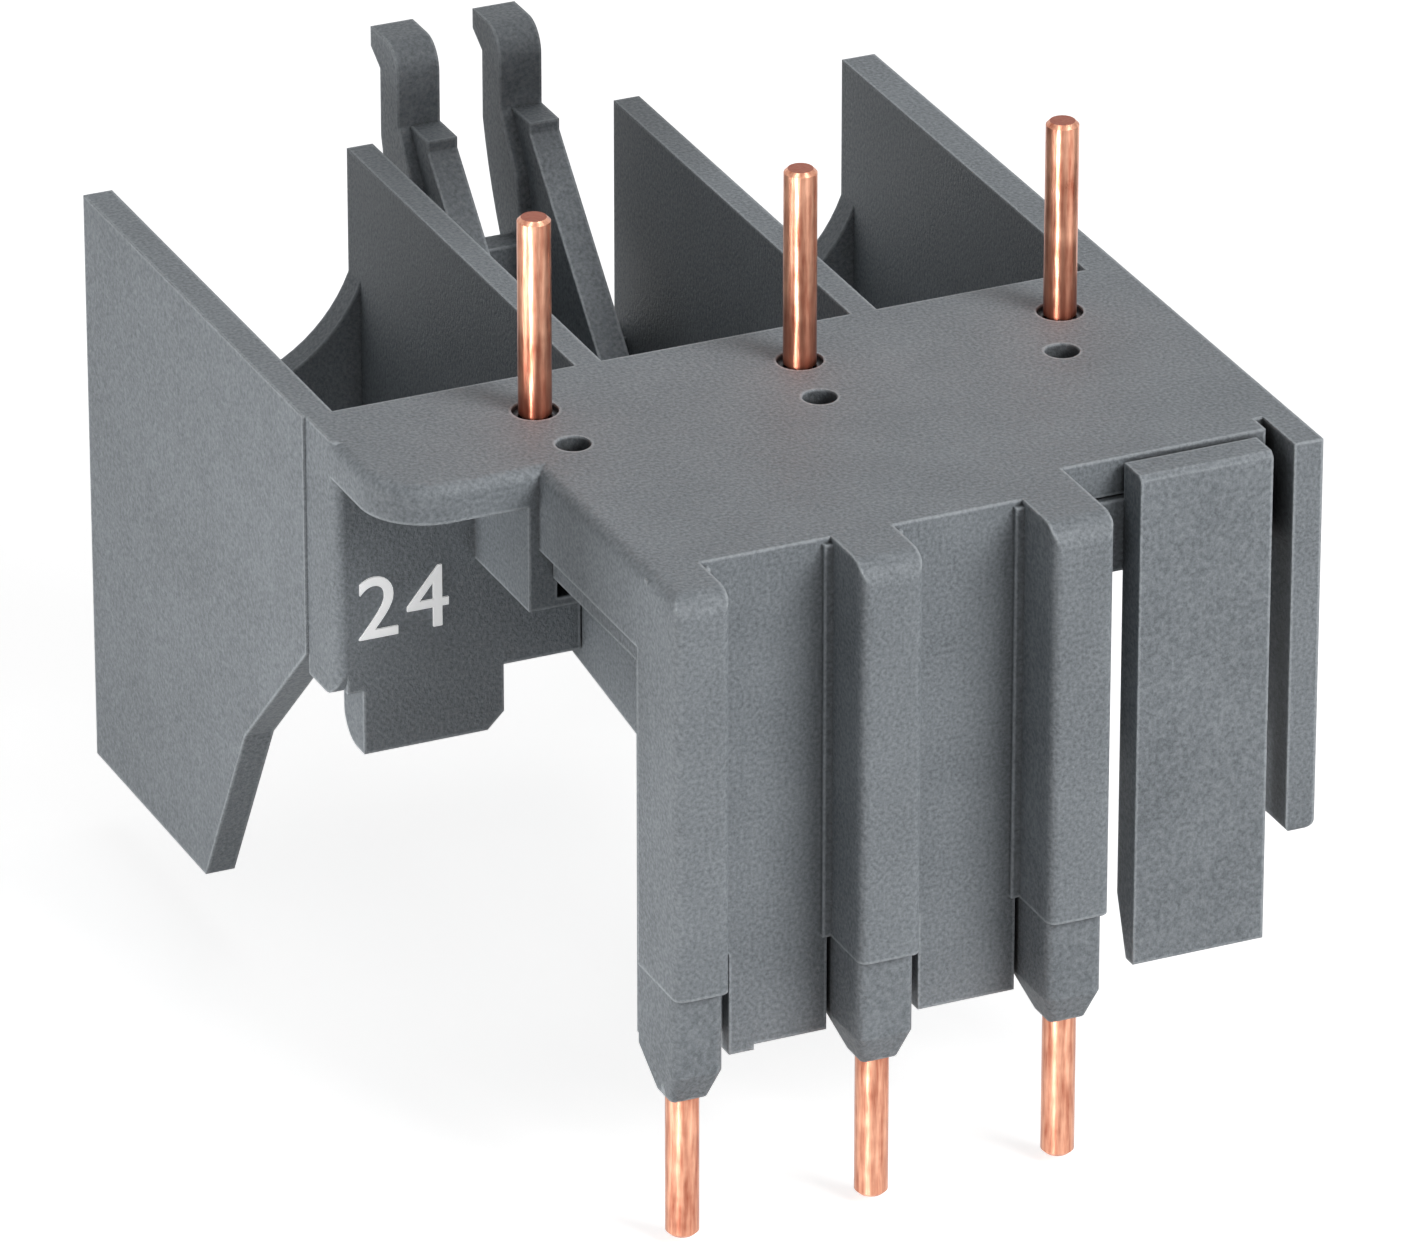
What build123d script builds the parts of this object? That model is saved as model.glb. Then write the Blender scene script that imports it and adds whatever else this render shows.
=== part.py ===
from build123d import *
import os

# Contactor connecting link: a moulded plastic bridge that carries three bent copper rods
# from the outgoing terminals of a 45 mm motor starter down into the contactor below it.
# Frame: X to the right, Y to the back, Z up. The origin is the middle of the width, on the
# line of the three upper pins, in the flat top of the plate. All sizes are millimetres.

# Plate and lip of the cover moulding
WIDTH = 45.0
PLATE_T = 2.0
BACK_EDGE_Y = 4.0
LIP_Y = -6.4
LIP_CORNER_R = 3.4
LIP_EDGE_R = 0.65
BLOCK_X = -14.25
BLOCK_EDGE_R = 0.7

# Side walls and fins
WALL_T = 1.6
RIGHT_WALL_T = 1.9
FIN_END_Y = 33.6
WING_DEPTH = 32.2
WING_HEEL_Z = -13.1
WING_KNEE_Y = 12.5
WING_KNEE_Z = -21.6
WING_FOOT_Y = 18.3
SIDE_DEPTH = 14.2
SIDE_STEP = 0.15
SIDE_CORNER_R = 1.5
SIDE_FRONT_R = 0.6
FIN_T = 1.46
FIN_MID_X = 0.54
FIN_PITCH = 15.18
FIN_DEPTH = 20.0
FIN_STEP_Y = 16.0

# Back wall with its scooped bays and the two hooks
BACK_WALL_T = 1.6
BACK_WALL_TOP = -13.0
SCOOP_R = 8.7
SCOOP_FALL = 5.3
SCOOP_LEFT_TOP = -7.0
SCOOP_RIGHT_TOP = -7.8
HOOK_MID_X = -0.25
HOOK_SPACING = 5.8
HOOK_W = 2.4
HOOK_TOP = 4.4
HOOK_SET = 1.3
HOOK_T = 2.3
HOOK_NOSE = 1.25
HOOK_NOSE_H = 1.1
HOOK_CHIN = 0.8
HOOK_CROWN_R = 1.6
HOOK_SUNK = 1.0
HOOK_WAIST_Z = -1.3
HOOK_BEND_Z = -3.0
HOOK_LEAN = 0.9
HOOK_ROOT_Z = -6.5
HOOK_TAIL_Z = -9.5
GUSSET_W = 1.7
GUSSET_REACH = 2.3
GUSSET_RUN = 9.5
GUSSET_SLOPE = 1.03
GUSSET_TIP = 0.6

# Wall behind the recess, with the tongue that is marked with the terminal number
TAB_WALL_Y = 0.4
TAB_WALL_T = 2.1
TAB_WALL_DEPTH = 13.9
TAB_W = 7.6
TAB_T = 2.6
TAB_DEPTH = 17.4
TAB_CORNER = 0.9
TAB_BACK_R = 1.7
CROSS_WALL_T = 1.5
POCKET_X = -14.8
POCKET_W = 4.85
POCKET_DEPTH = 7.7
POCKET_WALL = 1.5
POCKET_FLOOR = 0.5

# Front wall: flat panels between three hollow posts
PANEL_Y = -19.2
PANEL_T = 0.9
PANEL_DEPTH = 27.0
PANEL_FOOT_W = 1.35
PANEL_FOOT_DEPTH = 27.3
PANEL_SLOT_GAP = 1.6
POST_MID_X = -2.72
POST_PITCH = 10.28
POST_W = 3.3
POST_OUT = 3.8
POST_DEPTH = 21.7
POST_TOP_R = 1.3
POST_EDGE_R = 0.5
PILASTER_W = 0.45
PILASTER_OUT = 0.3
CHEEK_W = 0.8
CHEEK_DEPTH = 6.2
SKIRT_T = 0.6
SKIRT_DEPTH = 4.4
LEG_DEPTH = 21.75
LEG_RUN = 2.9
LEG_T = 1.6
LEG_FRONT_Y = -19.0
LEG_EDGE_R = 0.75
SLIT_W = 0.5
SLIT_END_Y = -15.5
PLATE_FRONT_Y = -16.8

# Copper rods and the round openings over them
ROD_D = 1.7
ROD_BEND_R = 1.8
ROD_TOP = 10.5
ROD_LOW = -35.7
ROD_RUN_Z = -3.7
UPPER_MID_X = 2.77
UPPER_PITCH = 14.44
LOWER_Y = -20.8
ROD_TIP = 0.2
ROD_FIT = 0.04
NECK_D = 1.3
NECK_LENGTH = 0.75
UPPER_NECK_TOP = -0.1
LOWER_NECK_END = -27.75
COLLAR_D = 2.4
COLLAR_DEPTH = 0.35
PROBE_D = 1.8
PROBE_MID_X = 1.86
PROBE_PITCH = 13.37
PROBE_Y = -4.37

# Carrier moulding under the plate
FIT = 0.1
FLOOR_BOTTOM = -6.0
CORE_WALL = 1.5
CORE_DEPTH = 14.5
CORE_FRONT_DEPTH = 17.2
CORE_LEFT_X = -9.0
CORE_RIGHT_X = 10.9
BACKING_T = 1.6
BACKING_DEPTH = 26.4
NIB_INSET = 0.5
NIB_SIDE_INSET = 0.12
NIB_DEPTH = 27.8
NIB_TAPER = 1.6
NIB_TIP = 2.0
NIB_TIP_R = 0.3
TONGUE_LEFT_X = 12.45
TONGUE_RIGHT_X = 19.7
TONGUE_Y = -19.1
TONGUE_T = 1.9
TONGUE_TOP = -0.15
TONGUE_DEPTH = 27.1
TONGUE_LEAD = 3.2
TONGUE_TIP_T = 0.8
TONGUE_EDGE = 0.25

HALF = WIDTH / 2
SIDES = ("left", "middle", "right")
POST_X = [POST_MID_X + POST_PITCH * k for k in (-1, 0, 1)]
UPPER_X = [UPPER_MID_X + UPPER_PITCH * k for k in (-1, 0, 1)]
PROBE_X = [PROBE_MID_X + PROBE_PITCH * k for k in (-1, 0, 1)]
FIN_LEFT_X = [FIN_MID_X + FIN_PITCH * k - FIN_T / 2 for k in (-0.5, 0.5)]
POST_LEFT = [BLOCK_X, POST_X[1] - POST_W / 2, POST_X[2] - POST_W / 2]
POST_RIGHT = [x + POST_W / 2 for x in POST_X]
POST_FRONT_Y = PANEL_Y - POST_OUT
PANEL_BACK_Y = PANEL_Y + PANEL_T
TAB_BACK_Y = TAB_WALL_Y + TAB_WALL_T
CROSS_FRONT_Y = BACK_EDGE_Y - CROSS_WALL_T
POCKET_RIGHT = POCKET_X + POCKET_W
BACK_FACE_Y = FIN_END_Y - BACK_WALL_T
ROD_HOLE_R = ROD_D / 2 + ROD_FIT


def block(x0, x1, y0, y1, z0, z1):
    """A block between two corners."""
    return Pos((x0 + x1) / 2, (y0 + y1) / 2, (z0 + z1) / 2) * Box(x1 - x0, y1 - y0, z1 - z0)


def from_above(points, z0, z1):
    """A flat shape drawn in plan, between two heights."""
    return extrude(Plane.XY.offset(z0) * make_face(Polyline(*points, close=True)), z1 - z0)


def from_side(lines, x0, x1):
    """A flat shape drawn as (y, z) from the side, between two places across."""
    return extrude(Plane.YZ.offset(x0) * make_face(lines), x1 - x0)


def drilled(x, y, diameter, depth):
    """A round hole down from the top of the plate."""
    return Pos(x, y, -depth / 2) * Cylinder(diameter / 2, depth)


def neck(x, y, top):
    """The ring cut out of a rod where a moulding grips it."""
    groove = Cylinder(ROD_D, NECK_LENGTH) - Cylinder(NECK_D / 2, NECK_LENGTH)
    return Pos(x, y, top - NECK_LENGTH / 2) * groove


def conductor(index):
    """One bent copper rod, its cut ends chamfered, necked inside the plate and the nib."""
    upper = UPPER_X[index]
    lower = POST_X[index]
    path = FilletPolyline(
        (upper, 0, ROD_TOP),
        (upper, 0, ROD_RUN_Z),
        (lower, LOWER_Y, ROD_RUN_Z),
        (lower, LOWER_Y, ROD_LOW),
        radius=ROD_BEND_R,
    )
    section = Plane(origin=(upper, 0, ROD_TOP), z_dir=(0, 0, -1)) * Circle(ROD_D / 2)
    body = sweep(section, path)
    ends = body.faces().filter_by(GeomType.PLANE).edges()
    body = chamfer(ends, ROD_TIP)
    body -= neck(upper, 0, UPPER_NECK_TOP)
    return body - neck(lower, LOWER_Y, LOWER_NECK_END + NECK_LENGTH)


def rod_slot(index, z0, z1):
    """Straight slot round a rod's level run."""
    start = Vector(UPPER_X[index], 0, 0)
    end = Vector(POST_X[index], LOWER_Y, 0)
    along = (end - start).normalized()
    across = Vector(-along.Y, along.X, 0) * ROD_HOLE_R
    corners = [start + across, end + across, end - across, start - across]
    return from_above([(c.X, c.Y) for c in corners], z0, z1)


def wing(x0, thickness):
    """Side wall with the deep wing that shields the terminals, in its side outline."""
    outline = [
        (FIN_END_Y, 0),
        (FIN_END_Y, -WING_DEPTH),
        (WING_FOOT_Y, -WING_DEPTH),
        (WING_KNEE_Y, WING_KNEE_Z),
        (BACK_EDGE_Y, WING_HEEL_Z),
        (BACK_EDGE_Y, 0),
    ]
    return from_side(Polyline(*outline, close=True), x0, x0 + thickness)


def left_strip():
    """Short side under the plate in front of the left wing, stepped in from it."""
    x0 = -HALF + SIDE_STEP
    strip = block(x0, -HALF + WALL_T, TAB_WALL_Y, BACK_EDGE_Y, -SIDE_DEPTH, 0)
    low = strip.edges().filter_by(Axis.X).group_by(Axis.Z)[0].sort_by(Axis.Y)[0]
    front = strip.edges().filter_by(Axis.Z).group_by(Axis.X)[0].sort_by(Axis.Y)[0]
    return fillet(low, SIDE_CORNER_R) & fillet(front, SIDE_FRONT_R)


def fin(x0):
    """One of the two thin partitions between the terminal bays."""
    outline = [
        (CROSS_FRONT_Y, 0),
        (FIN_END_Y, 0),
        (FIN_END_Y, -FIN_DEPTH),
        (FIN_STEP_Y, -FIN_DEPTH),
        (BACK_EDGE_Y, -TAB_WALL_DEPTH),
        (CROSS_FRONT_Y, -TAB_WALL_DEPTH),
    ]
    return from_side(Polyline(*outline, close=True), x0, x0 + FIN_T)


def scooped_bay(x0, x1, top_z):
    """Back wall of an outer bay, its top edge swept down from both sides in two arcs."""
    middle = (x0 + x1) / 2
    low_z = top_z - SCOOP_FALL
    wall = [
        RadiusArc((x0, top_z), (middle, low_z), -SCOOP_R),
        RadiusArc((middle, low_z), (x1, top_z), -SCOOP_R),
        Polyline((x1, top_z), (x1, -FIN_DEPTH), (x0, -FIN_DEPTH), (x0, top_z)),
    ]
    return extrude(Plane.XZ.offset(-FIN_END_Y) * make_face(wall), BACK_WALL_T)


def hook(x_mid):
    """A sprung hook on the back wall, with the gusset that stiffens it from the front."""
    left = x_mid - HOOK_W / 2
    right = x_mid + HOOK_W / 2
    front = FIN_END_Y + HOOK_SET
    back = front + HOOK_T
    nose = back + HOOK_NOSE
    under_nose = HOOK_TOP - HOOK_NOSE_H
    sunk = BACK_WALL_TOP - HOOK_SUNK
    stem = Polyline(
        (BACK_FACE_Y, sunk),
        (BACK_FACE_Y, HOOK_ROOT_Z),
        (BACK_FACE_Y + HOOK_LEAN, HOOK_BEND_Z),
        (front, 0),
        (front, HOOK_TOP - HOOK_CROWN_R),
    )
    crown_end = (front + HOOK_CROWN_R, HOOK_TOP)
    crown = RadiusArc((front, HOOK_TOP - HOOK_CROWN_R), crown_end, HOOK_CROWN_R)
    head = Polyline(
        crown_end,
        (nose, HOOK_TOP),
        (nose, under_nose),
        (back, under_nose - HOOK_CHIN),
        (back, HOOK_WAIST_Z),
    )
    mid_y = (back + FIN_END_Y) / 2 + HOOK_LEAN / 2
    mid_z = (HOOK_WAIST_Z + HOOK_TAIL_Z) / 2
    tail = ThreePointArc((back, HOOK_WAIST_Z), (mid_y, mid_z), (FIN_END_Y, HOOK_TAIL_Z))
    foot = Polyline((FIN_END_Y, HOOK_TAIL_Z), (FIN_END_Y, sunk), (BACK_FACE_Y, sunk))
    tip = front - GUSSET_REACH
    gusset = Polyline(
        (front + HOOK_LEAN, 0),
        (tip, 0),
        (tip, -GUSSET_TIP),
        (tip - GUSSET_RUN, -GUSSET_TIP - GUSSET_RUN * GUSSET_SLOPE),
        (tip - GUSSET_RUN, -FIN_DEPTH),
        (BACK_FACE_Y, -FIN_DEPTH),
        (BACK_FACE_Y, HOOK_ROOT_Z),
        (front + HOOK_LEAN, HOOK_BEND_Z),
        close=True,
    )
    arm = from_side([stem, crown, head, tail, foot], left, right)
    return arm + from_side(gusset, right - GUSSET_W, right)


def back_wall():
    """The low wall that ties the fins together at the back, and carries the hooks."""
    fin_two, fin_three = FIN_LEFT_X
    inner_left = -HALF + WALL_T
    inner_right = HALF - RIGHT_WALL_T
    wall = scooped_bay(inner_left, fin_two, SCOOP_LEFT_TOP)
    wall += scooped_bay(fin_three + FIN_T, inner_right, SCOOP_RIGHT_TOP)
    wall += block(fin_two + FIN_T, fin_three, BACK_FACE_Y, FIN_END_Y, -FIN_DEPTH, BACK_WALL_TOP)
    web = (HOOK_SPACING + HOOK_W) / 2
    wall += block(
        HOOK_MID_X - web, HOOK_MID_X + web, BACK_FACE_Y, FIN_END_Y, BACK_WALL_TOP, HOOK_ROOT_Z
    )
    for side in (-1, 1):
        wall += hook(HOOK_MID_X + side * HOOK_SPACING / 2)
    return wall


def lip():
    """Front of the plate over the recess, with its swept left corner."""
    x0 = -HALF + SIDE_STEP
    body = block(x0, BLOCK_X + BLOCK_EDGE_R, LIP_Y, BACK_EDGE_Y, -PLATE_T, 0)
    corner = body.edges().filter_by(Axis.Z).group_by(Axis.X)[0].sort_by(Axis.Y)[0]
    body = fillet(corner, LIP_CORNER_R)
    top = body.edges().group_by(Axis.Z)[-1]
    rim = [e for e in top if e.center().X < BLOCK_X and e.center().Y < CROSS_FRONT_Y]
    return fillet(rim, LIP_EDGE_R)


def block_top():
    """Plate between the posts and the fins, its free left edge rounded over."""
    outline = [
        (BLOCK_X, BACK_EDGE_Y),
        (HALF, BACK_EDGE_Y),
        (HALF, PLATE_FRONT_Y),
        (POST_RIGHT[2], PLATE_FRONT_Y),
        (POST_RIGHT[2], PANEL_Y),
        (BLOCK_X, PANEL_Y),
    ]
    body = from_above(outline, -PLATE_T, 0)
    edge = body.edges().filter_by(Axis.Y).group_by(Axis.X)[0].sort_by(Axis.Z)[-1]
    return fillet(edge, BLOCK_EDGE_R)


def post(index):
    """One hollow post of the front wall, its rounded edges mitred where they meet."""
    shell = block(
        POST_LEFT[index], POST_RIGHT[index], POST_FRONT_Y, PANEL_BACK_Y, -POST_DEPTH, 0
    )
    top_front = shell.edges().filter_by(Axis.X).group_by(Axis.Y)[0].sort_by(Axis.Z)[-1]
    upright = shell.edges().filter_by(Axis.Z).group_by(Axis.Y)[0]
    body = fillet(top_front, POST_TOP_R) & fillet(upright, POST_EDGE_R)
    if index == 0:
        side = shell.edges().filter_by(Axis.Y).group_by(Axis.X)[0].sort_by(Axis.Z)[-1]
        body = body & fillet(side, BLOCK_EDGE_R)
    return body


def post_channel(index):
    """The slot up the inside of a post, open to the back, that takes the rod and its rib."""
    x_mid = POST_X[index]
    left = x_mid - ROD_HOLE_R
    right = x_mid + ROD_HOLE_R
    top = ROD_RUN_Z + ROD_HOLE_R
    return block(left, right, LOWER_Y - ROD_HOLE_R, PANEL_BACK_Y, -POST_DEPTH, top)


def front_wall():
    """Panels and hollow posts, slotted below the posts where the nibs come through."""
    wall = block(BLOCK_X, POST_RIGHT[2], PANEL_Y, PANEL_BACK_Y, -PANEL_DEPTH, -PLATE_T)
    proud = PANEL_Y - PILASTER_OUT
    for index in range(3):
        left = POST_LEFT[index] - PILASTER_W * (index > 0)
        right = POST_RIGHT[index] + PILASTER_W * (index < 2)
        wall += block(left, right, proud, PANEL_Y, -POST_DEPTH, -PILASTER_OUT)
        wall += post(index)
        slot_left = POST_LEFT[index] - FIT
        slot_right = POST_RIGHT[index] + PANEL_SLOT_GAP
        wall -= block(slot_left, slot_right, POST_FRONT_Y, PANEL_BACK_Y, -PANEL_DEPTH, -POST_DEPTH)
    foot_x = POST_RIGHT[0] + PANEL_SLOT_GAP
    wall += block(
        foot_x, foot_x + PANEL_FOOT_W, PANEL_Y, PANEL_BACK_Y, -PANEL_FOOT_DEPTH, -PANEL_DEPTH
    )
    cheek_x = POST_RIGHT[2]
    return wall + block(
        cheek_x, cheek_x + CHEEK_W, PANEL_Y, PANEL_BACK_Y, -CHEEK_DEPTH, -PLATE_T
    )


def pocket():
    """The small open box that hangs under the lip beside the block."""
    walls = block(POCKET_X, POCKET_RIGHT, LIP_Y, TAB_WALL_Y, -POCKET_DEPTH, -PLATE_T)
    floor_z = -POCKET_DEPTH + POCKET_FLOOR
    return walls - block(
        POCKET_X + POCKET_WALL, POCKET_RIGHT, LIP_Y, TAB_WALL_Y, floor_z, -PLATE_T
    )


def tab():
    """The marked tongue, thinned at the back of its lower end as a lead-in."""
    x0 = -HALF + WALL_T
    back = TAB_WALL_Y + TAB_T
    body = block(x0, x0 + TAB_W, TAB_WALL_Y, back, -TAB_DEPTH, -TAB_WALL_DEPTH)
    low_back = body.edges().filter_by(Axis.X).group_by(Axis.Y)[-1].sort_by(Axis.Z)[0]
    body = fillet(low_back, TAB_BACK_R)
    low_right = body.edges().filter_by(Axis.Y).group_by(Axis.Z)[0].sort_by(Axis.X)[-1]
    return chamfer(low_right, TAB_CORNER)


def tab_wall():
    """Wall at the back of the recess, and the cross wall at the plate's back edge."""
    left = -HALF + SIDE_STEP + SIDE_FRONT_R
    low_right = CORE_LEFT_X - FIT
    wall = block(left, POCKET_RIGHT, TAB_WALL_Y, TAB_BACK_Y, -TAB_WALL_DEPTH, -PLATE_T)
    wall += block(
        POCKET_RIGHT, low_right, TAB_WALL_Y, TAB_BACK_Y, -TAB_WALL_DEPTH, FLOOR_BOTTOM - FIT
    )
    cross = block(
        POCKET_RIGHT - CROSS_WALL_T, HALF, CROSS_FRONT_Y, BACK_EDGE_Y, -TAB_WALL_DEPTH, -PLATE_T
    )
    return wall + tab() + cross


def skirt():
    """Side of the block under the plate, from the pocket forward to the first post."""
    return block(BLOCK_X, BLOCK_X + SKIRT_T, PANEL_Y, LIP_Y, -SKIRT_DEPTH, -PLATE_T)


def right_side():
    """Right wall: its wing, the side under the plate and the leg at the front corner."""
    x0 = HALF - RIGHT_WALL_T
    leg_x = HALF - LEG_T
    leg_back = LEG_FRONT_Y + LEG_RUN
    side = block(x0, HALF, leg_back, BACK_EDGE_Y, -SIDE_DEPTH, 0)
    leg = block(leg_x, HALF, LEG_FRONT_Y, leg_back, -LEG_DEPTH, 0)
    low = leg.edges().group_by(Axis.Z)[0]
    return wing(x0, RIGHT_WALL_T) + side + fillet(low, LEG_EDGE_R)


def slit():
    """Narrow gap that frees the leg from the plate's front right corner."""
    leg_x = HALF - LEG_T
    return block(leg_x - SLIT_W, leg_x, PLATE_FRONT_Y, SLIT_END_Y, -SIDE_DEPTH, 0)


def cover():
    """The outer moulding."""
    body = lip() + block_top() + left_strip() + tab_wall() + pocket() + skirt() + front_wall()
    body += wing(-HALF, WALL_T) + right_side() + back_wall()
    for x0 in FIN_LEFT_X:
        body += fin(x0)
    body -= slit()
    for index in range(3):
        body -= post_channel(index)
        body -= rod_slot(index, ROD_RUN_Z - ROD_BEND_R, ROD_RUN_Z + ROD_HOLE_R)
        body -= drilled(UPPER_X[index], 0, 2 * ROD_HOLE_R, ROD_HOLE_R - ROD_RUN_Z)
        body -= drilled(UPPER_X[index], 0, COLLAR_D, COLLAR_DEPTH)
        body -= drilled(PROBE_X[index], PROBE_Y, PROBE_D, PLATE_T)
    return body


def nib(index):
    """Tapered foot round a rod, below the hollow post, its upright edges rounded."""
    left = POST_LEFT[index] + NIB_SIDE_INSET
    right = POST_RIGHT[index] - NIB_SIDE_INSET
    front = POST_FRONT_Y + NIB_INSET
    back = PANEL_BACK_Y + FIT + POST_EDGE_R
    taper_z = NIB_TAPER - NIB_DEPTH
    section = RectangleRounded(right - left, back - front, POST_EDGE_R)
    full = Pos((left + right) / 2, (front + back) / 2, taper_z) * section
    tip_section = RectangleRounded(NIB_TIP, NIB_TIP, NIB_TIP_R)
    tip = Pos(POST_X[index], LOWER_Y, -NIB_DEPTH) * tip_section
    return extrude(full, -POST_DEPTH - FIT / 2 - taper_z) + loft([full, tip])


def tongue():
    """Flat tongue beside the posts, its lower end tapered from the back as a lead-in."""
    back = TONGUE_Y + TONGUE_T
    outline = Polyline(
        (TONGUE_Y + TONGUE_EDGE, TONGUE_TOP),
        (back, TONGUE_TOP),
        (back, TONGUE_LEAD - TONGUE_DEPTH),
        (TONGUE_Y + TONGUE_TIP_T, -TONGUE_DEPTH),
        (TONGUE_Y, -TONGUE_DEPTH),
        (TONGUE_Y, TONGUE_TOP - TONGUE_EDGE),
        close=True,
    )
    return from_side(outline, TONGUE_LEFT_X, TONGUE_RIGHT_X)


def floor():
    """Flat bed of the carrier under the plate, stepped round the pocket of the cover."""
    back = PANEL_BACK_Y + FIT
    rear = CROSS_FRONT_Y - FIT
    tongue_back = TONGUE_Y + TONGUE_T
    outline = [
        (BLOCK_X + SKIRT_T + FIT, back),
        (CORE_RIGHT_X, back),
        (CORE_RIGHT_X, tongue_back),
        (HALF - RIGHT_WALL_T - FIT, tongue_back),
        (HALF - RIGHT_WALL_T - FIT, rear),
        (POCKET_RIGHT + FIT, rear),
        (POCKET_RIGHT + FIT, TAB_WALL_Y - FIT),
        (POCKET_X + POCKET_WALL + FIT, TAB_WALL_Y - FIT),
        (POCKET_X + POCKET_WALL + FIT, LIP_Y - FIT),
        (BLOCK_X + SKIRT_T + FIT, LIP_Y - FIT),
    ]
    return from_above(outline, FLOOR_BOTTOM, -PLATE_T - FIT)


def core():
    """Open box under the middle of the floor, between the posts and the cross wall."""
    back = PANEL_BACK_Y + FIT
    rear = CROSS_FRONT_Y - FIT
    outline = [
        (back, FLOOR_BOTTOM),
        (rear, FLOOR_BOTTOM),
        (rear, -CORE_DEPTH),
        (back, -CORE_FRONT_DEPTH),
    ]
    outer = from_side(Polyline(*outline, close=True), CORE_LEFT_X, CORE_RIGHT_X)
    return outer - block(
        CORE_LEFT_X + CORE_WALL,
        CORE_RIGHT_X - CORE_WALL,
        back + BACKING_T,
        rear - CORE_WALL,
        -CORE_FRONT_DEPTH,
        FLOOR_BOTTOM,
    )


def carrier():
    """The inner moulding that holds the rods from below and closes the posts."""
    back = PANEL_BACK_Y + FIT
    body = floor() + core() + tongue()
    body += block(
        BLOCK_X + SKIRT_T + FIT,
        CORE_RIGHT_X,
        back,
        back + BACKING_T,
        -BACKING_DEPTH,
        FLOOR_BOTTOM,
    )
    rib = ROD_D / 2 - FIT
    for index in range(3):
        x_mid = POST_X[index]
        body += block(x_mid - rib, x_mid + rib, LOWER_Y, back, -POST_DEPTH - FIT, FLOOR_BOTTOM)
        body += nib(index)
    for index in range(3):
        body -= rod_slot(index, ROD_RUN_Z - ROD_HOLE_R, 0)
        body -= drilled(UPPER_X[index], 0, 2 * ROD_HOLE_R, ROD_HOLE_R - ROD_RUN_Z)
        body -= Pos(POST_X[index], LOWER_Y, FLOOR_BOTTOM) * Cylinder(
            ROD_HOLE_R, NIB_DEPTH, align=(Align.CENTER, Align.CENTER, Align.MAX)
        )
    return body


def main():
    os.makedirs("parts", exist_ok=True)
    export_step(cover(), "parts/cover.step")
    export_step(carrier(), "parts/carrier.step")
    for index, side in enumerate(SIDES):
        export_step(conductor(index), f"parts/conductor_{side}.step")


main()
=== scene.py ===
import math

import bpy
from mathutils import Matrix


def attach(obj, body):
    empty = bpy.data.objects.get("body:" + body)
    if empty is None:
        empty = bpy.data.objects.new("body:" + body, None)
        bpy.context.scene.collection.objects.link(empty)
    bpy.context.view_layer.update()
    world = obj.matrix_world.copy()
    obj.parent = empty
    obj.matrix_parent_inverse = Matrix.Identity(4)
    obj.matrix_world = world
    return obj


# The frame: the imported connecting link, in metres, with its nodes as the CAD gives them.
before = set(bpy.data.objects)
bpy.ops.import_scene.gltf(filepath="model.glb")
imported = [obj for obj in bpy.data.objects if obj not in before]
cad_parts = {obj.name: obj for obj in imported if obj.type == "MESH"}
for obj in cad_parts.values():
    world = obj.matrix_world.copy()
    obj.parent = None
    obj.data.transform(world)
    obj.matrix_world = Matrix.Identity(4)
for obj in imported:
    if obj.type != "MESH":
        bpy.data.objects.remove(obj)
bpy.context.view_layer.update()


# Cover: the outer moulding, with the plate, the side wings, the hollow posts and the hooks.
# It is glass-filled polyamide, injection moulded in a spark-eroded tool, so its faces have a
# dull, very fine grain. Its edges are rounded in the shading and made lighter by a painted
# highlight.
COVER_DARK = "#5C6267"
COVER_LIGHT = "#979DA2"
# The painted highlight on the edges: its colour, and how far it reaches; the same reach rounds
# the edges in the shading.
COVER_PAINTED_HIGHLIGHT = "#BEC4C9"
COVER_ROUNDING_AND_HIGHLIGHT_MM = 0.18

POLYAMIDE_IOR = 1.53
POLYAMIDE_ROUGHNESS = 0.62
ROUGHNESS_SPREAD = 0.08
# The real grain is a few hundredths of a millimetre, too fine to show, so it is drawn coarser.
GRAIN_MM = 0.2
GRAIN_DEPTH = 0.00006
# The glass fibre leaves faint clouds of tone, a few millimetres across.
MOTTLE_MM = 5.0
# Holes, slits and inner corners narrower than this get little light, so they are painted darker:
# painted shade.
PAINTED_SHADE_MM = 2.4


def linear(hex_colour):
    """A hex colour as the linear RGBA that a shader takes."""
    parts = [int(hex_colour[i:i + 2], 16) / 255 for i in (1, 3, 5)]
    return [c / 12.92 if c <= 0.04045 else ((c + 0.055) / 1.055) ** 2.4 for c in parts] + [1.0]


def add_node(owner, kind, settings=(), links=()):
    """Adds a node to a material or the world.

    Settings are (input or property, value), and links are (input, (node, output)).
    """
    node = owner.node_tree.nodes.new(kind)
    for name, value in settings:
        if isinstance(name, str) and hasattr(node, name) and name not in node.inputs:
            setattr(node, name, value)
        else:
            node.inputs[name].default_value = value
    for name, (source, output) in links:
        owner.node_tree.links.new(source.outputs[output], node.inputs[name])
    return node


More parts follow.
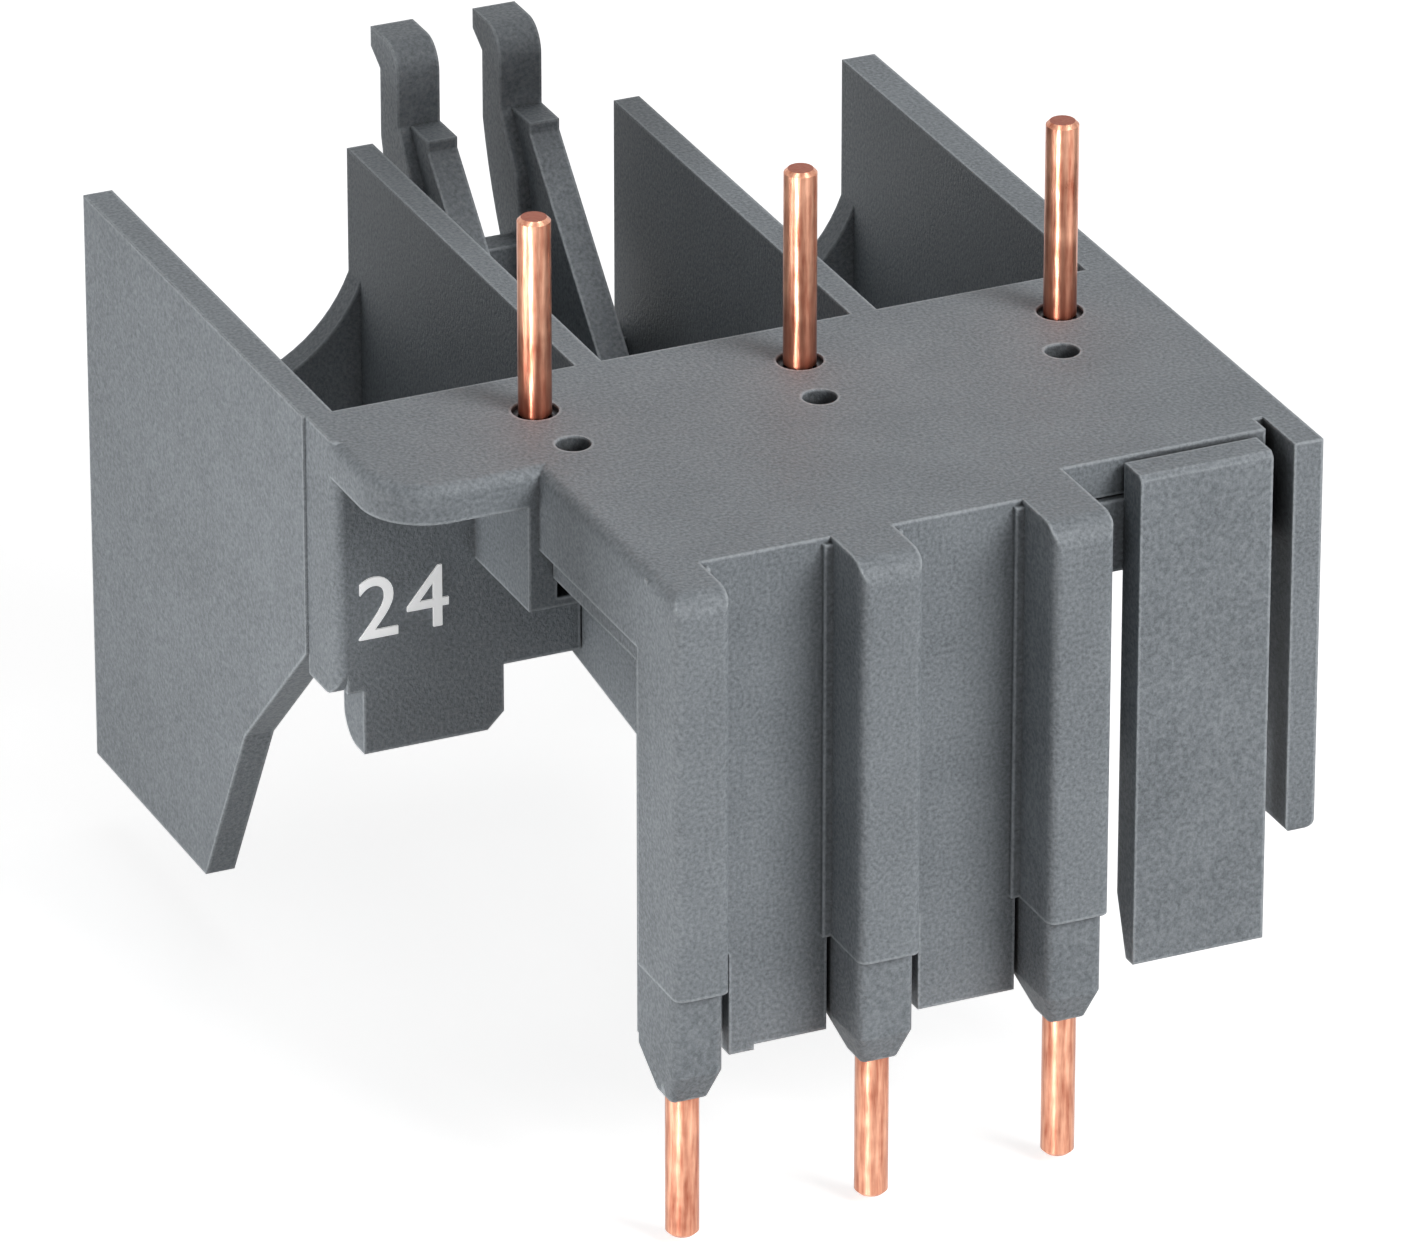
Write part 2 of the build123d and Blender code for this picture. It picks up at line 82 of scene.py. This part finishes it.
def moulded_polyamide(name, dark, light, highlight_colour, rounding_and_highlight_mm):
    """Polyamide with a spark-eroded surface: fine grain, faint mottling, painted highlights on
    the edges, painted shade.
    """
    material = bpy.data.materials.new(name)
    material.use_nodes = True
    shader = material.node_tree.nodes["Principled BSDF"]
    place = add_node(material, "ShaderNodeTexCoord")

    # The tone of the faces: the grain, over the faint mottling.
    grain = add_node(
        material,
        "ShaderNodeTexNoise",
        [("Scale", 1000 / GRAIN_MM), ("Detail", 2.0), ("Roughness", 0.6)],
        [("Vector", (place, "Object"))],
    )
    mottle = add_node(
        material,
        "ShaderNodeTexNoise",
        [("Scale", 1000 / MOTTLE_MM), ("Detail", 3.0)],
        [("Vector", (place, "Object"))],
    )
    spread = add_node(
        material,
        "ShaderNodeMath",
        [("operation", "MULTIPLY_ADD"), (1, 0.35)],
        [(0, (mottle, "Fac")), (2, (grain, "Fac"))],
    )
    tone = add_node(
        material,
        "ShaderNodeMapRange",
        [("From Min", 0.38), ("From Max", 0.97)],
        [("Value", (spread, 0))],
    )
    base = add_node(
        material,
        "ShaderNodeMix",
        [("data_type", "RGBA"), (6, linear(dark)), (7, linear(light))],
        [(0, (tone, 0))],
    )

    # The painted highlight on the edges: a lighter colour where there is little solid behind the
    # surface. The grain breaks it up.
    soft = add_node(material, "ShaderNodeBevel", [("samples", 3), ("Radius", rounding_and_highlight_mm / 1000)])
    highlight_mask_ao = add_node(
        material,
        "ShaderNodeAmbientOcclusion",
        [("inside", True), ("only_local", True), ("samples", 4), ("Distance", rounding_and_highlight_mm / 1000)],
    )
    highlight_breakup = add_node(
        material,
        "ShaderNodeMapRange",
        [("From Min", 0.35), ("From Max", 0.6), ("To Min", 0.6), ("To Max", 1.0)],
        [("Value", (grain, "Fac"))],
    )
    painted_edge_highlight = add_node(
        material,
        "ShaderNodeMapRange",
        [("From Min", 0.95), ("From Max", 0.65)],
        [("Value", (highlight_mask_ao, "AO")), ("To Max", (highlight_breakup, 0))],
    )

    # The painted shade: the colour is darker where walls stand close around the surface.
    painted_shade_ao = add_node(
        material,
        "ShaderNodeAmbientOcclusion",
        [("samples", 4), ("Distance", PAINTED_SHADE_MM / 1000)],
    )
    shade = add_node(
        material,
        "ShaderNodeMapRange",
        [
            ("interpolation_type", "SMOOTHSTEP"),
            ("From Min", 0.2),
            ("From Max", 0.58),
            ("To Min", 0.03),
        ],
        [("Value", (painted_shade_ao, "AO"))],
    )
    shaded = add_node(
        material,
        "ShaderNodeMix",
        [("data_type", "RGBA"), ("blend_type", "MULTIPLY"), (0, 1.0)],
        [(6, (base, 2)), (7, (shade, 0))],
    )
    # The painted highlight is laid over the painted shade.
    colour = add_node(
        material,
        "ShaderNodeMix",
        [("data_type", "RGBA"), (7, linear(highlight_colour))],
        [(0, (painted_edge_highlight, 0)), (6, (shaded, 2))],
    )

    bump = add_node(
        material,
        "ShaderNodeBump",
        [("Strength", 0.9), ("Distance", GRAIN_DEPTH)],
        [("Height", (grain, "Fac")), ("Normal", (soft, 0))],
    )
    rough = add_node(
        material,
        "ShaderNodeMapRange",
        [
            ("To Min", POLYAMIDE_ROUGHNESS - ROUGHNESS_SPREAD),
            ("To Max", POLYAMIDE_ROUGHNESS + ROUGHNESS_SPREAD),
        ],
        [("Value", (mottle, "Fac"))],
    )
    material.node_tree.links.new(colour.outputs[2], shader.inputs["Base Color"])
    material.node_tree.links.new(bump.outputs[0], shader.inputs["Normal"])
    material.node_tree.links.new(rough.outputs[0], shader.inputs["Roughness"])
    shader.inputs["IOR"].default_value = POLYAMIDE_IOR
    return material


cover_polyamide = moulded_polyamide(
    "spark_eroded_polyamide", COVER_DARK, COVER_LIGHT, COVER_PAINTED_HIGHLIGHT, COVER_ROUNDING_AND_HIGHLIGHT_MM
)
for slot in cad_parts["cover"].material_slots:
    slot.material = cover_polyamide


# Carrier: the inner moulding under the plate, which holds the rods, closes the posts from
# behind and ends in the nibs and the flat tongue. It comes from the same polyamide.
CARRIER_DARK = "#5A6065"
CARRIER_LIGHT = "#959BA0"
# The painted highlight on the edges: its colour, and how far it reaches; the same reach rounds
# the edges in the shading.
CARRIER_PAINTED_HIGHLIGHT = "#B8BEC3"
CARRIER_ROUNDING_AND_HIGHLIGHT_MM = 0.18

carrier_polyamide = moulded_polyamide(
    "carrier_polyamide", CARRIER_DARK, CARRIER_LIGHT, CARRIER_PAINTED_HIGHLIGHT, CARRIER_ROUNDING_AND_HIGHLIGHT_MM
)
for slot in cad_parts["carrier"].material_slots:
    slot.material = carrier_polyamide


# Rods: three lengths of bare drawn copper wire, cut, chamfered and bent cold. Drawing leaves
# fine lines along the wire, so its highlight is streaked lengthwise. The metal is redder where
# it is sheared, and low on the upper pins it carries a painted reflection of the plate, darker
# and redder.
COPPER_LIGHT = "#F2B799"
COPPER_DARK = "#A25B45"
# The red-brown of the sheared ends, also used for the painted reflection of the plate.
COPPER_CUT_AND_PLATE_REFLECTION = "#8A4433"
COPPER_ANISOTROPY = 0.8
# The real lines are a few hundredths of a millimetre wide, too fine to show, so they are
# drawn wider.
DRAWN_LINE_MM = 0.22
DRAWN_RUN_MM = 2.2
LINE_DEPTH = 0.00003
PATCH_MM = 1.6
# The painted reflection of the plate fades out at this height above the plate, and starts from
# just over its top.
PLATE_REFLECTION_MM = 4.5
PLATE_REFLECTION_FOOT = 0.0002
# What is lower than this belongs to the lower pins, which get no painted reflection of the
# plate.
UPPER_PIN_FOOT_Z = -0.001


def drawn_copper(name):
    """Bare copper wire: metal with fine drawn lines along its length."""
    material = bpy.data.materials.new(name)
    material.use_nodes = True
    shader = material.node_tree.nodes["Principled BSDF"]
    place = add_node(material, "ShaderNodeTexCoord")

    # The drawn lines, over patches where the die left the wire duller.
    along = add_node(
        material,
        "ShaderNodeMapping",
        [("Scale", (1000 / DRAWN_LINE_MM, 1000 / DRAWN_LINE_MM, 1000 / DRAWN_RUN_MM))],
        [("Vector", (place, "Object"))],
    )
    lines = add_node(
        material,
        "ShaderNodeTexNoise",
        [("Scale", 1.0), ("Detail", 3.0)],
        [("Vector", (along, 0))],
    )
    patches = add_node(
        material,
        "ShaderNodeTexNoise",
        [("Scale", 1000 / PATCH_MM), ("Detail", 3.0)],
        [("Vector", (place, "Object"))],
    )
    spread = add_node(
        material,
        "ShaderNodeMath",
        [("operation", "MULTIPLY_ADD"), (1, 0.6)],
        [(0, (patches, "Fac")), (2, (lines, "Fac"))],
    )
    tone = add_node(
        material,
        "ShaderNodeMapRange",
        [("From Min", 0.5), ("From Max", 1.1)],
        [("Value", (spread, 0))],
    )
    drawn = add_node(
        material,
        "ShaderNodeMix",
        [("data_type", "RGBA"), (6, linear(COPPER_DARK)), (7, linear(COPPER_LIGHT))],
        [(0, (tone, 0))],
    )

    # The painted reflection of the plate, at the foot of the upper pins.
    height = add_node(material, "ShaderNodeSeparateXYZ", links=[(0, (place, "Object"))])
    above = add_node(
        material,
        "ShaderNodeMath",
        [("operation", "GREATER_THAN"), (1, UPPER_PIN_FOOT_Z)],
        [(0, (height, "Z"))],
    )
    plate_reflection_reach = add_node(
        material,
        "ShaderNodeMapRange",
        [("From Min", PLATE_REFLECTION_MM / 1000), ("From Max", PLATE_REFLECTION_FOOT), ("To Max", 0.75)],
        [("Value", (height, "Z"))],
    )
    painted_plate_reflection = add_node(
        material,
        "ShaderNodeMath",
        [("operation", "MULTIPLY")],
        [(0, (plate_reflection_reach, 0)), (1, (above, 0))],
    )
    with_plate_reflection = add_node(
        material,
        "ShaderNodeMix",
        [("data_type", "RGBA"), (7, linear(COPPER_CUT_AND_PLATE_REFLECTION))],
        [(0, (painted_plate_reflection, 0)), (6, (drawn, 2))],
    )

    # The sheared ends: the faces that look straight up.
    facing = add_node(material, "ShaderNodeSeparateXYZ", links=[(0, (place, "Normal"))])
    sheared = add_node(
        material,
        "ShaderNodeMapRange",
        [("From Min", 0.9), ("From Max", 0.98), ("To Max", 0.85)],
        [("Value", (facing, "Z"))],
    )
    colour = add_node(
        material,
        "ShaderNodeMix",
        [("data_type", "RGBA"), (7, linear(COPPER_CUT_AND_PLATE_REFLECTION))],
        [(0, (sheared, 0)), (6, (with_plate_reflection, 2))],
    )

    bump = add_node(
        material,
        "ShaderNodeBump",
        [("Strength", 0.5), ("Distance", LINE_DEPTH)],
        [("Height", (spread, 0))],
    )
    rough = add_node(
        material,
        "ShaderNodeMapRange",
        [("To Min", 0.22), ("To Max", 0.44)],
        [("Value", (patches, "Fac"))],
    )
    upright = add_node(material, "ShaderNodeCombineXYZ", [("Z", 1.0)])
    material.node_tree.links.new(colour.outputs[2], shader.inputs["Base Color"])
    material.node_tree.links.new(bump.outputs[0], shader.inputs["Normal"])
    material.node_tree.links.new(rough.outputs[0], shader.inputs["Roughness"])
    material.node_tree.links.new(upright.outputs[0], shader.inputs["Tangent"])
    shader.inputs["Anisotropic"].default_value = COPPER_ANISOTROPY
    shader.inputs["Metallic"].default_value = 1.0
    return material


copper = drawn_copper("drawn_copper")
rods = [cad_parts[f"conductor_{side}"] for side in ("left", "middle", "right")]
for rod in rods:
    rod.data.polygons.foreach_set("use_smooth", [True] * len(rod.data.polygons))
    for slot in rod.material_slots:
        slot.material = copper


# Marking: two plain figures on the wall behind the recess. They are moulded slightly proud
# and their faces are printed white, a matt opaque ink with a painted glow that reads against the
# grey.
FIGURES = "24"
FIGURE_HEIGHT = 0.0034
FIGURE_PROUD = 0.00012
FIGURE_LEFT_X = -0.0213
FIGURE_FOOT_Z = -0.0110
FIGURE_WALL_Y = 0.0004
FIGURE_SPACING = 1.12
# A figure of Blender's own typeface is as high as 0.7 of its size.
HEIGHT_TO_SIZE = 0.7
PRINT_WHITE = "#FFFFFF"
PRINT_SPECK = "#EEF0F0"
SPECK_MM = 0.3
# A painted glow in the ink, so that it reads white in the shade of the recess.
PRINT_PAINTED_GLOW = 0.3
WHITE_LIGHT = (1.0, 1.0, 1.0, 1.0)

white_print = bpy.data.materials.new("pad_printed_white")
white_print.use_nodes = True
ink = white_print.node_tree.nodes["Principled BSDF"]
ink_place = add_node(white_print, "ShaderNodeTexCoord")
ink_specks = add_node(
    white_print,
    "ShaderNodeTexNoise",
    [("Scale", 1000 / SPECK_MM), ("Detail", 2.0)],
    [("Vector", (ink_place, "Object"))],
)
ink_tone = add_node(
    white_print,
    "ShaderNodeMix",
    [("data_type", "RGBA"), (6, linear(PRINT_SPECK)), (7, linear(PRINT_WHITE))],
    [(0, (ink_specks, "Fac"))],
)
white_print.node_tree.links.new(ink_tone.outputs[2], ink.inputs["Base Color"])
ink.inputs["Roughness"].default_value = 0.5
ink.inputs["IOR"].default_value = 1.5
# The ink's painted glow.
ink.inputs["Emission Color"].default_value = WHITE_LIGHT
ink.inputs["Emission Strength"].default_value = PRINT_PAINTED_GLOW

bpy.ops.object.select_all(action="DESELECT")
bpy.ops.object.text_add(location=(0, 0, 0))
figures = bpy.context.object
figures.name = "marking_figures"
figures.data.body = FIGURES
figures.data.size = FIGURE_HEIGHT / HEIGHT_TO_SIZE
figures.data.space_character = FIGURE_SPACING
figures.data.extrude = FIGURE_PROUD / 2
figures.data.resolution_u = 6
bpy.ops.object.convert(target="MESH")
figures = bpy.context.object
figures.rotation_euler = (math.radians(90), 0, 0)
figures.location = (FIGURE_LEFT_X, FIGURE_WALL_Y - FIGURE_PROUD / 2, FIGURE_FOOT_Z)
bpy.ops.object.transform_apply(location=True, rotation=True, scale=True)
figures.data.materials.clear()
figures.data.materials.append(white_print)
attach(figures, "root")


# Studio: a pale floor and a white surround. Both look white to the camera and in the copper,
# light the object only a little, and the floor keeps a soft shadow.
FLOOR_Z = -0.0362
FLOOR_SIZE = 6.0
FLOOR_GREY = "#CDCDCD"
FLOOR_GLOW = 0.78
SURROUND_LEVEL = 0.17

floor_white = bpy.data.materials.new("studio_white")
floor_white.use_nodes = True
paper = floor_white.node_tree.nodes["Principled BSDF"]
paper.inputs["Base Color"].default_value = linear(FLOOR_GREY)
paper.inputs["Roughness"].default_value = 0.9
paper.inputs["Emission Color"].default_value = WHITE_LIGHT


def seen_or_mirrored(owner):
    """A node that is 1 for rays from the camera and for reflections, and otherwise 0."""
    ray = add_node(owner, "ShaderNodeLightPath")
    return add_node(
        owner,
        "ShaderNodeMath",
        [("operation", "MAXIMUM")],
        [(0, (ray, "Is Camera Ray")), (1, (ray, "Is Glossy Ray"))],
    )


glow = add_node(
    floor_white,
    "ShaderNodeMath",
    [("operation", "MULTIPLY"), (1, FLOOR_GLOW)],
    [(0, (seen_or_mirrored(floor_white), 0))],
)
floor_white.node_tree.links.new(glow.outputs[0], paper.inputs["Emission Strength"])

bpy.ops.object.select_all(action="DESELECT")
bpy.ops.mesh.primitive_plane_add(size=FLOOR_SIZE, location=(0, 0, FLOOR_Z))
floor = bpy.context.object
floor.name = "studio_floor"
floor.data.materials.append(floor_white)

world = bpy.data.worlds.new("studio_surround")
world.use_nodes = True
bpy.context.scene.world = world
sky = world.node_tree.nodes["Background"]
sky.inputs["Color"].default_value = WHITE_LIGHT
level = add_node(
    world,
    "ShaderNodeMapRange",
    [("To Min", SURROUND_LEVEL), ("To Max", 1.0)],
    [("Value", (seen_or_mirrored(world), 0))],
)
world.node_tree.links.new(level.outputs[0], sky.inputs["Strength"])


# Lamps: a key soft box from the front on the right, a weaker one above, a strip low on the
# left for the outside of the left wing, and a tall strip that lights the rods alone and draws
# the long highlight left of their middle.
OBJECT_MIDDLE = (0.0, 0.0, -0.012)


def soft_lamp(name, place, width, watts, height=None, aim=OBJECT_MIDDLE):
    """A soft box that faces its aim: square, or a strip where it is given a height."""
    bpy.ops.object.light_add(type="AREA", location=place)
    lamp = bpy.context.object
    lamp.name = name
    lamp.data.size = width
    lamp.data.energy = watts
    if height is not None:
        lamp.data.shape = "RECTANGLE"
        lamp.data.size_y = height
    direction = [a - b for a, b in zip(aim, place)]
    flat = math.hypot(direction[0], direction[1])
    lamp.rotation_euler = (
        math.atan2(flat, -direction[2]),
        0,
        math.atan2(direction[1], direction[0]) - math.pi / 2,
    )
    return lamp


soft_lamp("key_softbox", (0.34, -0.60, 0.45), width=0.40, watts=4.9)
soft_lamp("top_softbox", (0.10, 0.15, 0.80), width=0.50, watts=0.75)
soft_lamp(
    "side_strip",
    (-0.130, -0.010, -0.020),
    width=0.06,
    watts=0.062,
    height=0.024,
    aim=(0.0, -0.010, -0.020),
)
rod_strip = soft_lamp("rod_strip", (-0.37, -0.335, 0.12), width=0.04, watts=9.0, height=0.27)
bare_metal = bpy.data.collections.new("bare_metal")
for rod in rods:
    bare_metal.objects.link(rod)
rod_strip.light_linking.receiver_collection = bare_metal


# Cards: a lit white one low in front on the left, which only mirrors, and a black one on the
# right give the round rods their bright and dark lines. Two small black flags keep the key
# off the hooks and the left strip off the recess. The camera sees none of them.
CARD_GLOW = 2.6
CARD_BLACK = "#1C1C1C"

card_white = bpy.data.materials.new("studio_card_white")
card_white.use_nodes = True
lit = card_white.node_tree.nodes["Principled BSDF"]
lit.inputs["Emission Color"].default_value = WHITE_LIGHT
lit.inputs["Emission Strength"].default_value = CARD_GLOW
card_black = bpy.data.materials.new("studio_card_black")
card_black.use_nodes = True
matt = card_black.node_tree.nodes["Principled BSDF"]
matt.inputs["Base Color"].default_value = linear(CARD_BLACK)


def stand_card(name, place, width, height, turn_degrees, finish):
    """An upright card beside the object, turned about the vertical."""
    bpy.ops.object.select_all(action="DESELECT")
    bpy.ops.mesh.primitive_plane_add(size=1.0, location=place)
    card = bpy.context.object
    card.name = name
    card.scale = (width, height, 1.0)
    card.rotation_euler = (math.radians(90), 0, math.radians(turn_degrees))
    card.data.materials.append(finish)
    card.visible_camera = False
    return card


low_card = stand_card("studio_card_low", (-0.047, -0.056, -0.027), 0.060, 0.018, -40, card_white)
low_card.visible_diffuse = False
stand_card("studio_card_dark", (0.080, -0.008, -0.024), 0.050, 0.024, 84, card_black)
for flag in (
    stand_card("studio_flag_hooks", (0.012, 0.014, 0.0162), 0.024, 0.014, 30, card_black),
    stand_card("studio_flag_side", (-0.032, -0.0105, -0.007), 0.008, 0.013, 90, card_black),
):
    flag.visible_glossy = False


# Camera: the long lens and the viewing angle of the photograph.
CAMERA_PLACE = (-0.22250, -0.48994, 0.24870)
CAMERA_DOWN_DEGREES = 26.02
CAMERA_TURN_DEGREES = -24.17
LENS_MM = 304.4
SENSOR_MM = 36.0

camera_data = bpy.data.cameras.new("photo_camera")
camera = bpy.data.objects.new("photo_camera", camera_data)
bpy.context.scene.collection.objects.link(camera)
camera.location = CAMERA_PLACE
camera.rotation_euler = (
    math.radians(90 - CAMERA_DOWN_DEGREES),
    0,
    math.radians(CAMERA_TURN_DEGREES),
)
camera_data.sensor_fit = "HORIZONTAL"
camera_data.sensor_width = SENSOR_MM
camera_data.lens = LENS_MM
camera_data.clip_start = 0.01
camera_data.clip_end = 20.0
bpy.context.scene.camera = camera
bpy.context.scene.view_settings.view_transform = "Standard"
